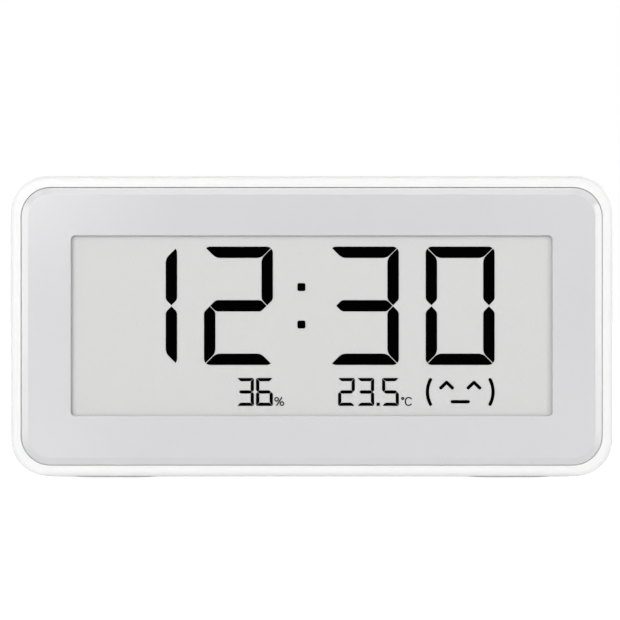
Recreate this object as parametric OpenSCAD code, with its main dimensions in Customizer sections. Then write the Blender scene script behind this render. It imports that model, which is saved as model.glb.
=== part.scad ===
// A small desk clock with a paper-like display that shows the time, the humidity and the temperature.
// Millimetres. It stands on two soft feet, faces -Y and has its origin under its middle.

/* [Housing] */
// Width of the housing
body_w = 111; // [106:1:160]
// Height of the housing without its feet
body_h = 55.3; // [53:0.1:90]
// Depth from the face of the front panel to the back
body_d = 22.7; // [20:0.1:40]
// Corner radius of the housing, seen from the front
corner_r = 6.8; // [5.2:0.1:9]
// Side wall of the housing, seen from the front as a rim round the panel
wall_t = 2.1; // [1.4:0.1:3]
// Back wall of the housing
back_t = 1.8; // [1.4:0.1:3]
// Round on the outer edge of the rim
rim_round = 1.2; // [0.2:0.1:1.3]
// Round on the back edge of the housing
back_round = 4; // [2:0.1:5.2]

/* [Front panel] */
// Thickness of the front panel
panel_t = 2; // [1.4:0.1:3]
// How far the panel stands in front of the rim
panel_proud = 0.3; // [0.05:0.05:0.6]
// Groove between the panel and the rim
panel_gap = 0.1; // [0.08:0.01:0.5]
// Corner radius of the panel
panel_corner_r = 5.4; // [4:0.1:6]
// Width of the slope along the edge of the panel
bevel_w = 1.45; // [0.3:0.05:2]
// Drop of that slope
bevel_drop = 0.5; // [0.1:0.05:1]
// From the side of the housing to the display window
side_border = 11.35; // [9.6:0.05:16]
// From the top and the bottom of the housing to the display window
end_border = 11.1; // [10:0.1:13]
// Thickness of the panel's lip round the display window
lip_t = 0.5; // [0.4:0.1:1]
// Corner radius of the display window
window_r = 0.8; // [0.3:0.1:3]
// How far the window sits above the middle of the panel
window_rise = 0.1; // [0:0.1:0.6]

/* [Display] */
// Foam frame between the panel and the display
gasket_t = 0.25; // [0.1:0.05:0.5]
// Paper-like film that shows the signs
film_t = 0.3; // [0.2:0.05:0.6]
// Film hidden behind the panel on each side of the window
film_margin = 2; // [1:0.1:2.2]
// Glass that drives the film
glass_t = 0.5; // [0.3:0.1:1.1]
// Bare ledge of that glass below the film
glass_ledge = 3.2; // [2.8:0.1:3.6]
// Thickness of a printed sign
sign_t = 0.06; // [0.02:0.01:0.1]
// Time shown, four figures
shown_time = "1230";
// Humidity shown, two figures
shown_humidity = "36";
// Temperature shown, three figures, the last one after the point
shown_temperature = "235";

/* [Battery bay] */
// Diameter of a coin cell
cell_d = 20; // [16:0.1:24]
// Thickness of a coin cell
cell_t = 3.2; // [2:0.1:4]
// Space between the two cells
cell_apart = 2.4; // [2:0.1:6]
// Middle of the bay below the middle of the housing
bay_drop = 2.5; // [0:0.1:4]
// Thickness of the battery door
door_t = 1.6; // [1.4:0.1:2.2]
// Running gap round the battery door
door_gap = 0.2; // [0.15:0.05:0.4]
// Wall and floor of the bay
bay_wall = 1.2; // [0.8:0.1:2]

/* [Board] */
// Thickness of the circuit board
board_t = 1; // [0.6:0.1:1.6]
// From the back of the housing to the rear face of the board
board_depth = 11.4; // [11:0.1:13.6]
// From the cavity's side to the board
board_side_gap = 7.5; // [6:0.1:10]
// From the cavity's top and bottom to the board
board_end_gap = 4.3; // [4:0.1:6]

/* [Button and feet] */
// Diameter of the button on the back
button_d = 7; // [5:0.1:9]
// Travel of the button
button_travel = 0.3; // [0.2:0.05:0.35]
// How far the button stands behind the housing
button_proud = 0.4; // [0.35:0.05:0.8]
// Length of a foot, from side to side
foot_w = 22; // [16:0.5:28]
// Width of a foot, from front to back
foot_d = 15; // [7:0.5:15]
// How far a foot stands out of the housing
foot_proud = 0.4; // [0.2:0.05:0.6]

/* [Hidden] */
$fn = 48;
overrun = 1;
slide_fit = 0.1;
pin_fit = 0.05;
touch_gap = 0.02;
arc_steps = 5;

// Levels, from the back of the clock to its front
front_z = body_d/2;
back_z = -body_d/2;
rim_z = front_z - panel_proud;
panel_back_z = front_z - panel_t;
lip_z = front_z - lip_t;
film_front_z = lip_z - gasket_t;
film_back_z = film_front_z - film_t;
glass_back_z = film_back_z - glass_t;
inner_back_z = back_z + back_t;
board_back_z = back_z + board_depth;
board_front_z = board_back_z + board_t;

// Outlines of the shell
cavity = [body_w - 2*wall_t, body_h - 2*wall_t];
cavity_r = panel_corner_r + panel_gap;
rim_limit_share = 0.9;
rim_r = min(rim_round, rim_limit_share*wall_t);
inner_round = max(back_round - wall_t, overrun);
panel_size = [cavity.x - 2*panel_gap, cavity.y - 2*panel_gap];
bevel_soft_share = 0.12;
bevel_soft_drop_share = 0.06;
rim_edge = 0.1;
back_edge = 0.2;

// Window and display
window = [body_w - 2*side_border, body_h - 2*end_border];
window_edge = 0.1;
film_size = [window.x + 2*film_margin, window.y + 2*film_margin];
glass_low_y = window_rise - film_size.y/2 - glass_ledge;
glass_high_y = window_rise + film_size.y/2;
glass_mid_y = (glass_low_y + glass_high_y)/2;
glass_size = [film_size.x, glass_high_y - glass_low_y];
gasket_inset = 0.5;

// Carrier that holds the display against the panel
carrier_t = 1.2;
carrier_wall = 1;
carrier_fit = 0.15;
carrier_rim = carrier_fit + carrier_wall;
carrier_size = glass_size + 2*[carrier_rim, carrier_rim];
carrier_back_z = min(panel_back_z, glass_back_z) - carrier_t;
ear = 4.2;
ear_y_share = 0.164;
carrier_window_share = 0.6;
small_screw_r = 0.75;
small_head_r = 1.4;
small_head_t = 0.9;
small_bite = 1.2;
small_slot_w = 0.4;
small_slot_t = 0.4;

// Snap hooks of the panel, their catches in the housing and the ribs that the panel seats on
hook_w = 6;
hook_t = 1.2;
hook_l = 4;
hook_inset = 0.25;
barb = 0.9;
barb_t = 1.4;
catch_room = 0.25;
hook_x_share = 0.62;
hook_y_share = 0.5;
rib_t = 1.4;
rib_reach = 1.6;
rib_x_shares = [0.3, 0.85];
rib_y_shares = [0.15, 0.72];
rib_sink = 0.5;

// Signs on the display, as shares of the window
digit_w_share = 0.1434;
digit_h_share = 0.6574;
digit_t_share = 0.165;
digit_gap_share = 0.008;
time_x_share = -0.0214;
time_y_share = 0.111;
hour_x_shares = [-0.3305, -0.1311];
minute_x_shares = [0.1311, 0.3305];
dot_share = 0.0165;
dot_round_share = 0.2;
dot_y_share = 0.104;
small_w_share = 0.035;
small_h_share = 0.155;
small_t_share = 0.193;
small_gap_share = 0.012;
small_y_share = -0.3675;
humidity_x_shares = [-0.1379, -0.0983];
temperature_x_shares = [0.0724, 0.1126, 0.164];
point_x_share = 0.1384;
point_share = 0.19;
outer_round_share = 0.55;
inner_round_share = 0.92;
shoulder_round_share = 0.52;
unit_h_share = 0.32;
unit_t_share = 0.13;
percent_x_share = -0.0675;
percent_w_share = 0.56;
percent_ring_share = 0.26;
degree_x_share = 0.1895;
degree_ring_share = 0.17;
celsius_x_share = 0.2018;
celsius_w_share = 0.42;
celsius_mouth_share = 0.5;
face_x_share = 0.3093;
face_bracket_x_share = 1.122;
face_bracket_bulge_share = 0.108;
face_eye_x_share = 0.491;
face_eye_w_share = 0.414;
face_eye_high_share = 0.345;
face_eye_low_share = 0.145;
face_mouth_w_share = 0.575;
face_mouth_y_share = -0.35;
time_digit = [digit_w_share*window.x, digit_h_share*window.y];
time_stroke = digit_t_share*time_digit.x;
small_digit = [small_w_share*window.x, small_h_share*window.y];
small_stroke = small_t_share*small_digit.x;
time_y = window_rise + time_y_share*window.y;
small_y = window_rise + small_y_share*window.y;
unit_h = unit_h_share*small_digit.y;
unit_stroke = unit_t_share*unit_h;
unit_y = small_y - small_digit.y/2 + unit_h/2;

// Driver chip and ribbon of the display
driver_size = [14, 1.1, 0.3];
driver_rise = 1.9;
ribbon_w = 12;
ribbon_t = 0.12;
ribbon_bond = 1.2;
ribbon_bend_r = 1;
ribbon_clear = 0.5;
stiffener_t = 0.2;
stiffener_l = 4;

// Connector of the ribbon and its flip latch
connector_size = [15, 3.8, 1.9];
connector_rise = 1.2;
connector_wall = 0.9;
connector_y = -cavity.y/2 + board_end_gap + connector_rise;
ribbon_z = board_front_z + connector_wall;
ribbon_in = 2.2;
stiffener_end_y = connector_y + ribbon_in - stiffener_l;
ribbon_turn_y = min(stiffener_end_y, glass_mid_y - carrier_size.y/2 - ribbon_clear + ribbon_bend_r);
ribbon_low_y = ribbon_turn_y - ribbon_bend_r - ribbon_t;
flip_t = 0.6;
flip_l = 1.5;
flip_r = flip_t/2;
flip_y = connector_y + connector_size.y - flip_l + flip_r;
flip_z = board_front_z + connector_size.z - flip_r;
flip_side = 0.8;

// Battery bay and its door
bay_y = -bay_drop;
cell_r = cell_d/2;
cell_pitch = cell_d + cell_apart;
cell_fit = 0.3;
clip_room = 0.8;
pad_t = 0.25;
pad_gap = 0.05;
leaf_room = 0.45;
door_ledge = [3.8, 3.3];
door_r = 3;
door_size = [cell_pitch + cell_d + 2*door_ledge.x, cell_d + 2*door_ledge.y];
door_in_z = back_z + door_t;
door_top_y = bay_y + door_size.y/2;
door_low_y = bay_y - door_size.y/2 - door_gap;
hinge_r = door_t/2;
hinge_y = bay_y - door_size.y/2 + hinge_r;
hinge_z = back_z + hinge_r;
hinge_pin_r = 0.45;
hinge_pin_l = 1;
cell_rear_z = door_in_z + pad_t + pad_gap;
cell_front_z = cell_rear_z + cell_t;
bay_floor_z = cell_front_z + leaf_room;
bay_front_z = bay_floor_z + bay_wall;
bay_size = [cell_pitch + 2*(cell_r + cell_fit + clip_room + bay_wall), cell_d + 2*(cell_fit + bay_wall)];
ledge_t = 1.2;
latch_w = 8;
latch_t = 0.9;
latch_l = 2.2;
latch_barb = 0.5;
latch_barb_t = 0.8;
latch_room = 0.5;
latch_setback = 1.1;
scoop_r = 7;
scoop_t = 0.7;
pad_size = [30, 9];

// Parts of a coin cell
can_wall = 0.3;
can_round = 0.4;
can_h_share = 0.86;
seal_t = 0.35;
seal_rise = 0.1;
cap_round = 0.3;

// Spring contacts
leaf_t = 0.25;
leaf_w = 4;
leaf_l = 9;
leaf_foot = 3;
leaf_slot = 0.25;

// Push button and the switch behind it
button_y_share = 0.09;
button_x = (door_size.x + cavity.x)/4;
button_y = button_y_share*body_h;
button_r = button_d/2;
flange_t = 0.8;
flange_reach = 0.8;
flange_r = button_r + flange_reach;
collar_t = 1;
collar_h = 2.6;
switch_size = [6, 6, 3.4];
switch_cover_t = 0.3;
plunger_r = 1.7;
plunger_foot_r = 2.2;
plunger_foot_t = 0.5;
plunger_spare = 0.8;
plunger_proud = button_travel + plunger_spare;
stem_r = 1.3;
dome_r = 2.3;
dome_spare = 0.15;
dome_h = button_travel + dome_spare;
dome_t = 0.08;
dome_seat_t = 0.5;
switch_top_z = board_back_z - switch_size.z - switch_cover_t;
plunger_tip_z = switch_top_z - plunger_proud;
flange_z = inner_back_z + pin_fit;

// Vents, with a mesh behind them
vent_x = button_x;
vent_y = button_y;
vent_l = 9;
vent_w = 1.1;
vent_pitch = 2.4;
vent_count = 4;
mesh_margin = 1.2;
mesh_t = 0.3;

// Screws and posts of the board
board_size = [cavity.x - 2*board_side_gap, cavity.y - 2*board_end_gap];
board_r = 1.5;
post_inset = 4;
post_r = 2.6;
post_fit_r = 1.05;
post_pilot_l = 5.4;
screw_r = 1;
screw_l = 5;
screw_head_r = 1.9;
screw_head_t = 1.2;
cross_w = 0.5;
cross_l = 2.2;
cross_t = 0.6;
post_x = board_size.x/2 - post_inset;
post_y = board_size.y/2 - post_inset;

// Parts on the board, placed by shares of its half width and half height
controller_size = [7, 7, 0.9];
controller_place_shares = [0.25, 0.3];
controller_pad_w = 0.3;
controller_pad_pitch = 0.8;
controller_pad_t = 0.2;
memory_size = [3.9, 5, 1.4];
memory_lead = [1, 0.4, 0.2];
memory_pitch = 1.27;
memory_place_shares = [-0.16, 0.3];
crystal_size = [3.2, 2.5, 0.7];
crystal_lid_inset = 0.25;
crystal_lid_t = 0.15;
crystal_place_shares = [0.25, 0.66];
watch_r = 1;
watch_l = 6;
watch_place_shares = [0.44, 0.3];
inductor_size = [4, 4, 1.8];
inductor_core_r = 1.5;
inductor_well = 0.3;
inductor_place_shares = [-0.42, -0.4];
bulk_size = [3.5, 2.8, 1.9];
bulk_place_shares = [-0.6, -0.42];
diode_size = [2.6, 1.6, 1.1];
diode_lead = [0.6, 0.9, 0.2];
diode_place_shares = [[-0.42, -0.12], [-0.52, -0.12], [-0.62, -0.12]];
capacitor_size = [1.6, 0.8, 0.8];
capacitor_place_shares = [
    [0.13, 0.12], [0.13, 0.5], [0.25, 0.02], [0.32, 0.02], [0.38, 0.62], [-0.3, 0.42],
    [-0.3, 0.18], [-0.42, -0.66], [-0.52, -0.66], [0.25, -0.45], [0.32, -0.45], [0.39, -0.45]];
resistor_size = [1.6, 0.8, 0.45];
resistor_place_shares = [
    [0.13, 0.2], [0.13, 0.42], [0.18, -0.15], [0.25, -0.15], [0.32, -0.15], [-0.3, 0.3],
    [-0.42, 0.08], [-0.52, 0.08], [0.46, -0.45], [0.53, -0.45]];
sensor_size = [2.5, 2.5, 0.9];
sensor_hole_r = 0.4;
sensor_slot_w = 1;
sensor_slot_room = 2.4;
antenna_t = 0.05;
antenna_w = 0.6;
antenna_pitch = 1.8;
antenna_h = 6;
antenna_turns = 4;
antenna_inset = 2;

// Feet
foot_sink = 0.5;
foot_fit = 0.1;
foot_x_share = 0.33;
foot_z = (back_z + back_round + rim_z - rim_r)/2;
foot_round = 0.25;

// The clock is laid out with z towards the viewer and y up, from the middle of the housing.
// This stands it on its feet, with the button's stand-out shared between front and back.
module standing()
    translate([0, -button_proud/2, foot_proud + body_h/2]) rotate([90, 0, 0]) children();

module round_rect(size, r) {
    square([size.x, size.y - 2*r], center = true);
    square([size.x - 2*r, size.y], center = true);
    for (x = [-1, 1], y = [-1, 1])
        translate([x*(size.x/2 - r), y*(size.y/2 - r)]) circle(r);
}

module layer(low, high)
    translate([0, 0, low]) linear_extrude(high - low) children();

module plate(size, r, low, high)
    layer(low, high) round_rect(size, r);

module slab(size, low, high)
    layer(low, high) square(size, center = true);

module disc(r, low, high)
    translate([0, 0, low]) cylinder(r = r, h = high - low);

// A section drawn in z and y, pulled out sideways to a width
module side_on(width)
    rotate([0, -90, 0]) linear_extrude(width, center = true) children();

// Sweeps a section, drawn outwards from a corner's centre, round a rounded rectangle
module around(size, r)
    for (side = [0 : 3]) rotate([0, 0, 90*side]) {
        half = side % 2 == 0 ? size.x/2 : size.y/2;
        across = side % 2 == 0 ? size.y/2 : size.x/2;
        translate([half - r, 0, 0]) rotate([90, 0, 0])
            linear_extrude(2*(across - r), center = true) children();
        translate([half - r, across - r, 0]) rotate_extrude(angle = 90) children();
    }

// Breaks the edge of an opening, where it meets a face that looks to -z
module flare(size, r, level, edge)
    around(size + 2*[edge, edge], r + edge) polygon([
        [r - edge, level + 2*edge], [r + edge, level],
        [r + edge, level - overrun], [r - edge, level - overrun]]);

module round_flare(r, level, edge)
    translate([0, 0, level - overrun]) cylinder(r1 = r + edge + overrun, r2 = r, h = edge + overrun);

module round_cut(r) difference() {
    translate([-r, -overrun]) square([r + overrun, r + overrun]);
    translate([-r, r]) circle(r);
}

// A block with rounded corners whose lower and upper edges are rounded too
module soft_block(size, r, low, high, low_round, high_round) {
    around(size, r) difference() {
        translate([0, low]) square([r, high - low]);
        if (low_round > 0) translate([r, low]) round_cut(low_round);
        if (high_round > 0) translate([r, high]) mirror([0, 1]) round_cut(high_round);
    }
    slab([size.x - 2*r, size.y - 2*r], low, high);
}

// Places along the four sides, with +y pointing out of the side
module along_sides(size, x_shares, y_shares) {
    for (turn = [0, 180]) rotate([0, 0, turn]) {
        for (share = x_shares, way = [-1, 1]) translate([way*share*size.x/2, size.y/2, 0]) children();
        for (share = y_shares, way = [-1, 1]) rotate([0, 0, 90])
            translate([way*share*size.y/2, size.x/2, 0]) children();
    }
}

// Housing, with the bay, the board's posts and the button's collar moulded in

module door_outline(extra) {
    r = door_r + extra;
    top = [door_size.x + 2*extra, door_top_y + extra - hinge_y];
    translate([0, hinge_y + top.y/2]) {
        translate([0, -r/2]) square([top.x, top.y - r], center = true);
        square([top.x - 2*r, top.y], center = true);
        for (x = [-1, 1]) translate([x*(top.x/2 - r), top.y/2 - r]) circle(r);
    }
}

// Sweeps a section, drawn outwards from a corner's centre, round the door's sides and top
module round_door() intersection() {
    low_y = hinge_y - 2*door_r;
    high_y = door_top_y + 2*overrun;
    translate([0, (low_y + door_top_y)/2, 0]) around([door_size.x, door_top_y - low_y], door_r) children();
    translate([0, (door_low_y + high_y)/2, 0])
        slab([door_size.x + 4*overrun, high_y - door_low_y], back_z - 2*overrun, door_in_z + 2*overrun);
}

module door_flare() {
    r = door_r + door_gap;
    round_door() polygon([
        [r - back_edge, back_z + 2*back_edge], [r + back_edge, back_z],
        [r + back_edge, back_z - overrun], [r - back_edge, back_z - overrun]]);
    side_on(door_size.x + 2*door_gap) polygon([
        [back_z - overrun, door_low_y - back_edge - overrun],
        [back_z + back_edge + overrun, door_low_y + overrun], [back_z - overrun, door_low_y + overrun]]);
}

// Recess beside the door's upper edge, for a fingertip
module scoop() translate([0, door_top_y, 0])
    round_flare(scoop_r - scoop_t, back_z, scoop_t);

module bay_hollow() {
    for (x = [-1, 1]) translate([x*cell_pitch/2, bay_y]) circle(cell_r + cell_fit);
    translate([0, bay_y]) square([cell_pitch, cell_r], center = true);
    for (x = [-1, 1]) translate([x*(cell_pitch/2 + cell_r + clip_room/2), bay_y])
        square([clip_room + 2*cell_fit, leaf_w + 2*leaf_slot], center = true);
}

module bay_slots() {
    for (x = [-1, 1]) {
        translate([x*(cell_pitch/2 + cell_r + clip_room/2), bay_y])
            square([clip_room + 2*cell_fit, leaf_w + 2*leaf_slot], center = true);
        translate([x*(cell_pitch/2 + leaf_l/2 - leaf_t/2), bay_y])
            square([leaf_t + 2*leaf_slot, leaf_w + 2*leaf_slot], center = true);
    }
}

module catches()
    along_sides(panel_size, [hook_x_share], [hook_y_share])
        translate([0, 0, panel_back_z - hook_l + barb_t]) side_on(hook_w + 2*catch_room)
            translate([-barb_t - catch_room, -overrun])
                square([barb_t + 2*catch_room, overrun + barb - hook_inset + catch_room]);

module posts(r, low, high)
    for (x = [-1, 1], y = [-1, 1]) translate([x*post_x, y*post_y, 0]) disc(r, low, high);

module latch_place()
    translate([0, door_top_y - latch_setback, 0]) children();

module at_vents()
    for (i = [0 : vent_count - 1])
        translate([vent_x, vent_y + (i - (vent_count - 1)/2)*vent_pitch, 0]) children();

module rear_housing() color("white") standing() difference() {
    union() {
        difference() {
            soft_block([body_w, body_h], corner_r, back_z, rim_z, back_round, rim_r);
            soft_block(cavity, cavity_r, inner_back_z, rim_z + overrun, inner_round, 0);
        }
        translate([0, bay_y, 0]) slab(bay_size, inner_back_z - touch_gap, bay_front_z);
        translate([0, bay_y, 0])
            slab(door_size + 2*[ledge_t, ledge_t], inner_back_z - touch_gap, door_in_z + ledge_t);
        latch_place() translate([0, latch_t, 0])
            slab([latch_w + 2*ledge_t, 2*(latch_setback + latch_barb + latch_room)],
                inner_back_z - touch_gap, door_in_z + latch_l + latch_room + ledge_t);
        posts(post_r, inner_back_z - touch_gap, board_back_z);
        translate([-button_x, button_y, 0])
            disc(flange_r + slide_fit + collar_t, inner_back_z - touch_gap, inner_back_z + collar_h);
        along_sides(cavity, rib_x_shares, rib_y_shares) translate([0, (rib_sink - rib_reach)/2, 0])
            slab([rib_t, rib_reach + rib_sink], inner_back_z + inner_round, panel_back_z);
    }
    mirror([0, 0, 1]) flare(cavity, cavity_r, -rim_z, rim_edge);
    layer(back_z - overrun, door_in_z + pin_fit) {
        door_outline(door_gap);
        translate([0, (door_low_y + hinge_y + touch_gap)/2])
            square([door_size.x + 2*door_gap, hinge_y + touch_gap - door_low_y], center = true);
    }
    door_flare();
    scoop();
    layer(door_in_z - touch_gap, bay_floor_z) bay_hollow();
    layer(bay_floor_z - touch_gap, bay_front_z + overrun) bay_slots();
    latch_place() {
        translate([0, (latch_setback - latch_t - latch_room)/2, 0])
            slab([latch_w + 2*latch_room, latch_setback + latch_t + latch_room],
                door_in_z - touch_gap, door_in_z + latch_l + latch_room);
        translate([0, latch_setback + latch_barb/2, 0])
            slab([latch_w + 2*latch_room, latch_barb + 2*latch_room],
                door_in_z + latch_l - latch_barb_t - touch_gap, door_in_z + latch_l + latch_room);
    }
    translate([0, hinge_y, hinge_z]) rotate([0, 90, 0])
        cylinder(r = hinge_pin_r + pin_fit, h = door_size.x + 2*(door_gap + hinge_pin_l), center = true);
    posts(post_fit_r, board_back_z - post_pilot_l, board_back_z + overrun);
    translate([-button_x, button_y, 0]) {
        disc(button_r + slide_fit, back_z - overrun, inner_back_z + overrun);
        round_flare(button_r + slide_fit, back_z, back_edge);
        disc(flange_r + slide_fit, inner_back_z, inner_back_z + collar_h + overrun);
    }
    at_vents() {
        plate([vent_l, vent_w], vent_w/2 - touch_gap, back_z - overrun, inner_back_z + overrun);
        flare([vent_l, vent_w], vent_w/2 - touch_gap, back_z, back_edge);
    }
    catches();
    for (x = [-1, 1]) translate([x*foot_x_share*body_w, foot_sink - body_h/2, foot_z])
        rotate([90, 0, 0]) plate([foot_w, foot_d], foot_d/2 - touch_gap, 0, foot_sink + overrun);
}

// Front panel, its window and its snap hooks
module front_panel() color("gainsboro") standing() {
    difference() {
        union() {
            around(panel_size, panel_corner_r) polygon([
                [0, panel_back_z], [panel_corner_r, panel_back_z], [panel_corner_r, front_z - bevel_drop],
                [panel_corner_r - (1 - bevel_soft_share)*bevel_w, front_z - bevel_soft_drop_share*bevel_drop],
                [panel_corner_r - bevel_w, front_z], [0, front_z]]);
            slab(panel_size - 2*[panel_corner_r, panel_corner_r], panel_back_z, front_z);
        }
        display_pocket();
        translate([0, window_rise, 0]) {
            plate(window, window_r, panel_back_z - overrun, front_z + overrun);
            mirror([0, 0, 1]) flare(window, window_r, -front_z, window_edge);
        }
        ears() disc(small_screw_r + pin_fit, panel_back_z - overrun, panel_back_z + small_bite + slide_fit);
    }
    along_sides(panel_size, [hook_x_share], [hook_y_share])
        translate([0, -hook_inset, panel_back_z]) side_on(hook_w) polygon([
            [0, 0], [0, -hook_t], [-hook_l, -hook_t], [-hook_l, 0],
            [barb_t - hook_l, barb], [barb_t - hook_l + touch_gap, 0]]);
}

// Room in the panel's back for the carrier and, below it, for the turn of the ribbon
module display_pocket() {
    translate([0, glass_mid_y, 0])
        slab(carrier_size + 2*[slide_fit, slide_fit], panel_back_z - overrun, lip_z);
    translate([0, (glass_mid_y + ribbon_low_y - slide_fit)/2, 0])
        slab([ribbon_w + 2*ribbon_clear, glass_mid_y - ribbon_low_y + slide_fit],
            panel_back_z - overrun, lip_z);
}

module ears()
    for (x = [-1, 1], y = [-1, 1])
        translate([x*(carrier_size.x + ear)/2, window_rise + y*ear_y_share*carrier_size.y, 0]) children();

// Display, from the front to the back
module display_gasket() color("dimgray") standing()
    layer(film_front_z, lip_z) translate([0, window_rise]) difference() {
        round_rect(film_size, window_r);
        round_rect(window + 2*[gasket_inset, gasket_inset], window_r + gasket_inset);
    }

module display_film() color("whitesmoke") standing()
    translate([0, window_rise, 0]) plate(film_size, window_r, film_back_z, film_front_z);

module display_glass() color("lightcyan") standing()
    translate([0, glass_mid_y, 0]) slab(glass_size, glass_back_z, film_back_z);

module display_driver_chip() color("darkslategray") standing()
    translate([-ribbon_w/2 - driver_size.x, glass_low_y + driver_rise - driver_size.y/2, film_back_z])
        cube(driver_size);

module display_carrier() color("silver") standing() difference() {
    union() {
        translate([0, glass_mid_y, 0]) slab(carrier_size, carrier_back_z, lip_z);
        ears() slab([ear, ear], carrier_back_z, panel_back_z);
    }
    translate([0, glass_mid_y, 0]) {
        slab(glass_size + 2*[carrier_fit, carrier_fit], glass_back_z, lip_z + overrun);
        slab(carrier_window_share*glass_size, carrier_back_z - overrun, glass_back_z + overrun);
        translate([0, -carrier_size.y/2, 0])
            slab([ribbon_w + 2*ribbon_clear, 2*(carrier_rim + carrier_fit)],
                glass_back_z, lip_z + overrun);
    }
    ears() disc(small_screw_r + slide_fit, carrier_back_z - overrun, panel_back_z + overrun);
}

module carrier_screws() color("gray") standing() ears() difference() {
    union() {
        disc(small_screw_r, carrier_back_z - touch_gap, panel_back_z + small_bite);
        disc(small_head_r, carrier_back_z - small_head_t, carrier_back_z);
    }
    for (turn = [0, 90]) rotate([0, 0, turn])
        slab([2*small_head_r*carrier_window_share, small_slot_w],
            carrier_back_z - small_head_t - overrun, carrier_back_z - small_head_t + small_slot_t);
}

// Signs on the film

function corner_arc(before, corner, after, r) =
    let (u = (before - corner)/norm(before - corner),
        v = (after - corner)/norm(after - corner),
        half = acos(u*v)/2,
        centre = corner + (u + v)/norm(u + v)*r/sin(half),
        from = corner + u*r/tan(half) - centre,
        turn = -sign(cross(u, v))*(180 - 2*half))
    r == 0 ? [corner] : [for (i = [0 : arc_steps]) let (a = turn*i/arc_steps)
        centre + [from.x*cos(a) - from.y*sin(a), from.x*sin(a) + from.y*cos(a)]];

function rounded(points, radii) =
    let (last = len(points) - 1)
    [for (i = [0 : last]) each corner_arc(points[i == 0 ? last : i - 1], points[i],
        points[i == last ? 0 : i + 1], radii[i])];

module end_bar(size, t, gap) {
    r = inner_round_share*t;
    edge = size/2;
    polygon(rounded([
        [gap - edge.x, edge.y], [gap + t - edge.x, edge.y - t],
        [edge.x - t - gap, edge.y - t], [edge.x - gap, edge.y]], [0, r, r, 0]));
}

module side_bar(size, t, gap) {
    r = inner_round_share*t;
    shoulder = shoulder_round_share*t;
    edge = size/2;
    polygon(rounded([
        [edge.x, edge.y - gap], [edge.x - t, edge.y - t - gap], [edge.x - t, t/2 + gap],
        [edge.x - t/2, gap], [edge.x, t/2 + gap]], [0, r, shoulder, 0, shoulder]));
}

module middle_bar(size, t, gap) {
    shoulder = shoulder_round_share*t;
    tip = size.x/2 - t/2 - gap;
    polygon(rounded([
        [-tip, 0], [t/2 - tip, -t/2], [tip - t/2, -t/2], [tip, 0], [tip - t/2, t/2], [t/2 - tip, t/2]],
        [0, shoulder, shoulder, 0, shoulder, shoulder]));
}

// Bars a to f run clockwise from the top, and g is the middle one
DIGIT_BARS = ["abcdef", "bc", "abdeg", "abcdg", "bcfg", "acdfg", "acdefg", "abc", "abcdefg", "abcdfg"];

function lit(figure, bar) = len(search(bar, DIGIT_BARS[ord(figure) - ord("0")])) > 0;

module digit(figure, size, t, gap) intersection() {
    round_rect(size, outer_round_share*t);
    union() {
        if (lit(figure, "a")) end_bar(size, t, gap);
        if (lit(figure, "b")) side_bar(size, t, gap);
        if (lit(figure, "c")) mirror([0, 1]) side_bar(size, t, gap);
        if (lit(figure, "d")) mirror([0, 1]) end_bar(size, t, gap);
        if (lit(figure, "e")) rotate(180) side_bar(size, t, gap);
        if (lit(figure, "f")) mirror([1, 0]) side_bar(size, t, gap);
        if (lit(figure, "g")) middle_bar(size, t, gap);
    }
}

module signs() color("black") standing() layer(film_front_z, film_front_z + sign_t) children();

module small_figures(shown, x_shares)
    for (i = [0 : len(shown) - 1]) translate([x_shares[i]*window.x, small_y])
        digit(shown[i], small_digit, small_stroke, small_gap_share*small_digit.x);

// A bar with round ends
module stroke(from, to, t) {
    along = to - from;
    for (end = [from, to]) translate(end) circle(t/2);
    translate((from + to)/2) rotate(atan2(along.y, along.x)) square([norm(along), t], center = true);
}

module ring(r, t) difference() {
    circle(r);
    circle(r - t);
}

module time_figures() signs() {
    x_shares = concat(hour_x_shares, minute_x_shares);
    for (i = [0 : len(x_shares) - 1]) translate([(time_x_share + x_shares[i])*window.x, time_y])
        digit(shown_time[i], time_digit, time_stroke, digit_gap_share*time_digit.x);
}

module colon_dots() signs()
    for (way = [-1, 1]) translate([time_x_share*window.x, time_y + way*dot_y_share*window.y])
        round_rect([dot_share, dot_share]*window.x, dot_round_share*dot_share*window.x);

module humidity_figures() signs() {
    small_figures(shown_humidity, humidity_x_shares);
    w = percent_w_share*unit_h;
    r = percent_ring_share*unit_h;
    translate([percent_x_share*window.x, unit_y]) {
        for (way = [-1, 1]) translate(way*[r - w, unit_h/2 - r]) ring(r, unit_stroke);
        stroke([-w/2, unit_stroke/2 - unit_h/2], [w/2, unit_h/2 - unit_stroke/2], unit_stroke);
    }
}

module temperature_figures() signs() {
    small_figures(shown_temperature, temperature_x_shares);
    point = point_share*small_digit.x;
    translate([point_x_share*window.x, small_y - small_digit.y/2 + point/2]) square(point, center = true);
    r = degree_ring_share*unit_h;
    translate([degree_x_share*window.x, unit_y + unit_h/2 - r]) ring(r, unit_stroke);
    size = [2*celsius_w_share, 1]*unit_h;
    translate([celsius_x_share*window.x, unit_y]) difference() {
        round_rect(size, celsius_w_share*unit_h - touch_gap);
        round_rect(size - 2*[unit_stroke, unit_stroke], celsius_w_share*unit_h - unit_stroke - touch_gap);
        translate([size.x/2, 0]) square([size.x, celsius_mouth_share*size.y], center = true);
    }
}

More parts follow.
